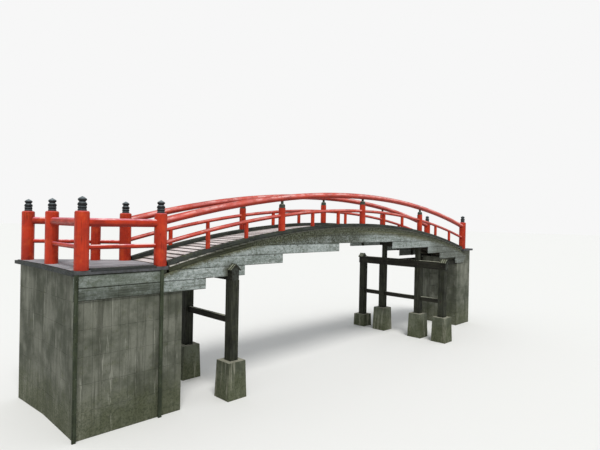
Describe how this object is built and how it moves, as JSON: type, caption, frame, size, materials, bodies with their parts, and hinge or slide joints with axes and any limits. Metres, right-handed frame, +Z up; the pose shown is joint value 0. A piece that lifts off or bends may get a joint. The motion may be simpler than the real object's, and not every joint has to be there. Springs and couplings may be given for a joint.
{
  "type": "red arched footbridge",
  "caption": "Arched timber footbridge with red round railings, newels with bulb finials, a railed landing, stepped grey board fascia and dark timber piers on footings.",
  "frame": {"origin": "centre of the bridge's box at the level of the footings' undersides", "axes": "+X along the span away from the railed landing, -Y the near side in the picture, +Z up"},
  "size_m": [20.65, 5.385, 6.3325],
  "materials": {
    "red_paint": "vermilion paint, satin, sun-bleached on top and chipped at the foot",
    "dark_metal": "dark patinated metal with worn grey highlights",
    "dark_timber": "dark weathered timber, damp, with moss on the upper faces",
    "grey_boards": "grey weathered boards with moss towards the top edge",
    "deck_planks": "pale worn planks with dark gaps",
    "concrete": "broom-finished concrete, dusty",
    "masonry": "rough mossy concrete and stone"
  },
  "bodies": {
    "root": {"left_abutment": "masonry", "right_abutment": "masonry", "left_landing": "concrete", "right_landing": "concrete", "landing_edge_beams": "dark_timber", "landing_siding": "grey_boards", "siding_battens": "dark_timber", "girders": "dark_timber", "deck": "deck_planks", "curb_near": "dark_timber", "curb_far": "dark_timber", "rim_beam_near": "dark_timber", "rim_beam_far": "dark_timber", "fascia_studs": "dark_timber", "fascia_course_1": "grey_boards", "fascia_course_2": "grey_boards", "fascia_course_3": "grey_boards", "fascia_course_4": "grey_boards", "fascia_course_5": "grey_boards", "left_cross_beam": "dark_timber", "right_cross_beam": "dark_timber", "right_cap_beam": "dark_timber", "beam_end_roofs": "grey_boards", "columns_left": "dark_timber", "columns_right": "dark_timber", "footings_left": "masonry", "footings_right": "masonry", "tie_beams": "dark_timber", "side_beams": "dark_timber", "top_rail_near": "red_paint", "top_rail_far": "red_paint", "lower_rail_near": "red_paint", "lower_rail_far": "red_paint", "main_posts": "red_paint", "post_caps": "dark_metal", "short_posts_near": "red_paint", "short_posts_far": "red_paint", "newels_left": "red_paint", "newels_right": "red_paint", "finials_left": "dark_metal", "finials_right": "dark_metal", "wing_rails_near": "red_paint", "wing_rails_front": "red_paint", "wing_rails_far": "red_paint", "wing_post": "red_paint"}
  },
  "joints": []
}
